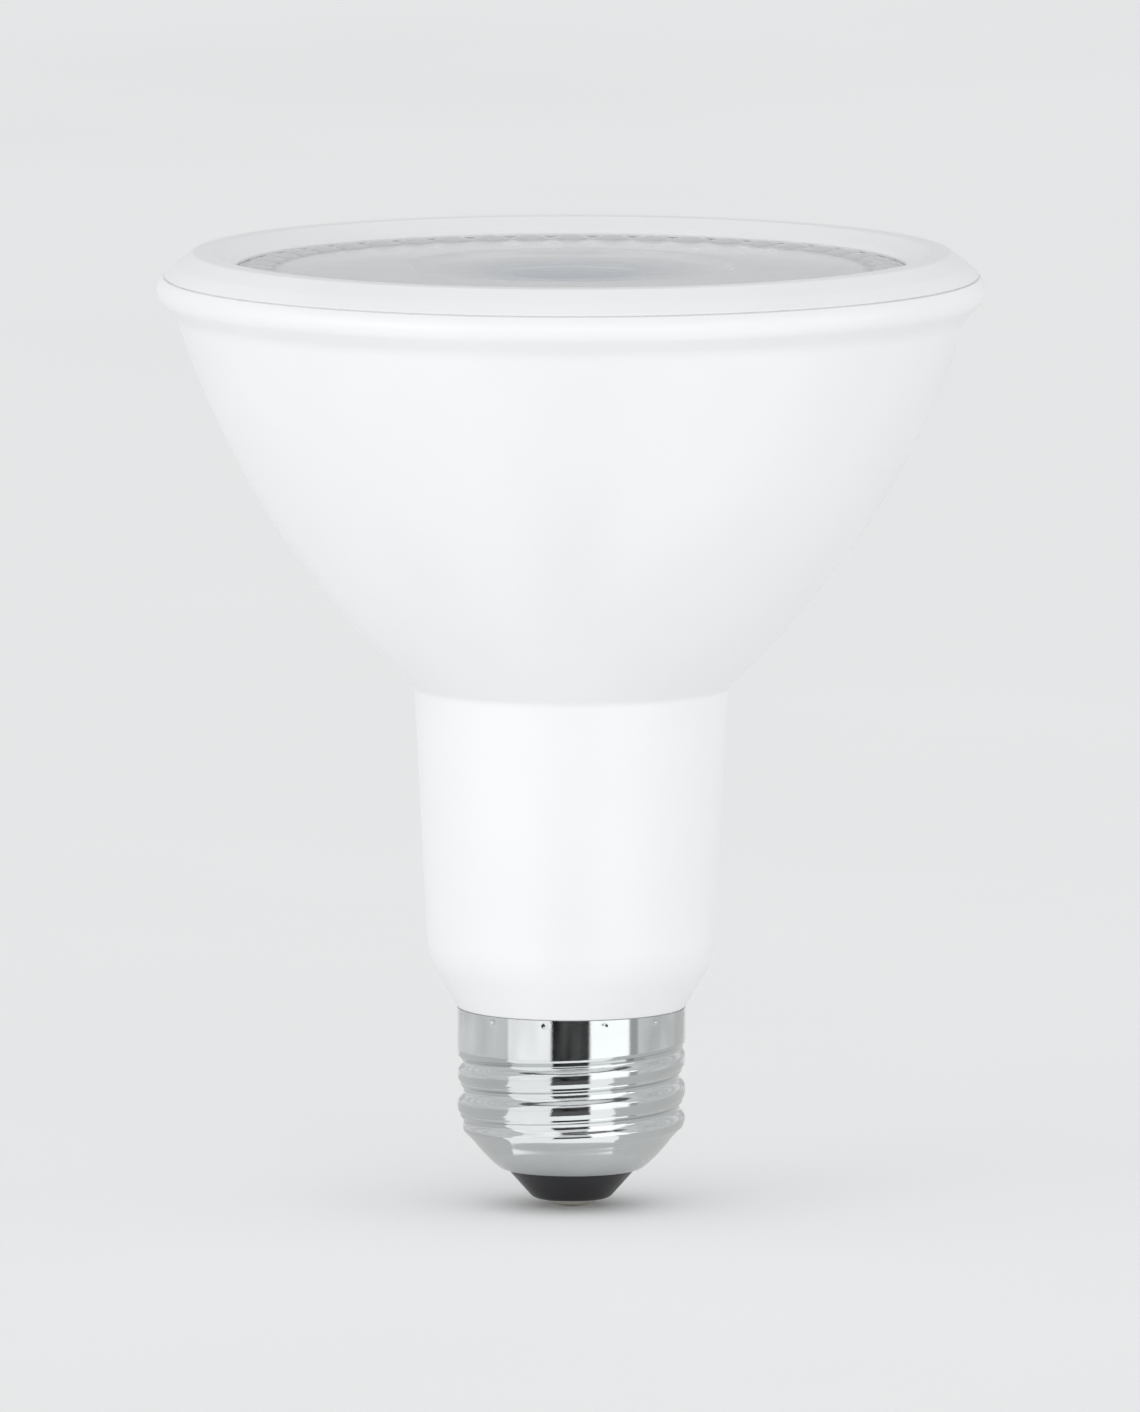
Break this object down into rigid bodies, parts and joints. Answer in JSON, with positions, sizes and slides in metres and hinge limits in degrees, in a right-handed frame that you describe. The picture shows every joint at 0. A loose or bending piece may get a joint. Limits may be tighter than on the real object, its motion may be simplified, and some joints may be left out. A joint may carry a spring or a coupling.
{
  "type": "reflector spotlight bulb",
  "caption": "Long-neck parabolic reflector spotlight lamp: white cone-shaped housing, bevelled front ring round a clear prismatic lens, and a medium screw base.",
  "frame": {"origin": "lowest point of the centre contact, on the lamp's axis", "axes": "+Z along the lamp's axis, from the base towards the lens; +Y behind the lamp as the picture shows it"},
  "size_m": [0.095, 0.095, 0.1102],
  "materials": {
    "nickel_shell": "bright nickel-plated sheet metal",
    "black_insulator": "black moulded insulator",
    "contact_metal": "tinned brass",
    "white_housing": "white satin moulding",
    "white_ring": "white satin moulding",
    "clear_lens": "clear prismatic moulding",
    "sink_metal": "pressed aluminium",
    "white_reflector": "white reflective moulding",
    "thermal_grey": "grey silicone pad",
    "white_ceramic": "white ceramic board",
    "phosphor": "yellow phosphor gel",
    "white_holder": "white heat-proof moulding",
    "steel_screw": "zinc-plated steel",
    "black_rubber": "black silicone rubber",
    "green_board": "green circuit board",
    "green_terminal": "green moulding",
    "yellow_film": "yellow film capacitor case",
    "black_package": "black moulded package",
    "blue_resistor": "blue lacquer",
    "choke_sleeve": "black heat-shrink sleeve",
    "can_sleeve": "aluminium can in a dark sleeve",
    "ferrite": "sintered ferrite",
    "winding_tape": "yellow polyester tape",
    "black_wire": "black insulated wire",
    "white_wire": "white insulated wire",
    "red_wire": "red insulated wire"
  },
  "bodies": {
    "root": {"screw_shell": "nickel_shell", "base_insulator": "black_insulator", "centre_contact": "contact_metal", "housing": "white_housing", "front_ring": "white_ring", "lens": "clear_lens", "heat_sink": "sink_metal", "reflector": "white_reflector", "thermal_pad": "thermal_grey", "chip_board": "white_ceramic", "emitter": "phosphor", "chip_holder": "white_holder", "sink_screw_1": "steel_screw", "sink_screw_2": "steel_screw", "sink_screw_3": "steel_screw", "holder_screw_1": "steel_screw", "holder_screw_2": "steel_screw", "grommet": "black_rubber", "driver_board": "green_board", "terminal": "green_terminal", "film_capacitor": "yellow_film", "bridge_rectifier": "black_package", "driver_ic": "black_package", "output_diode": "black_package", "fuse_resistor": "blue_resistor", "line_choke": "choke_sleeve", "bulk_capacitor": "can_sleeve", "output_capacitor": "can_sleeve", "transformer_core": "ferrite", "transformer_winding": "winding_tape", "line_wire": "black_wire", "neutral_wire": "white_wire", "led_wire_positive": "red_wire", "led_wire_negative": "black_wire"}
  },
  "joints": []
}
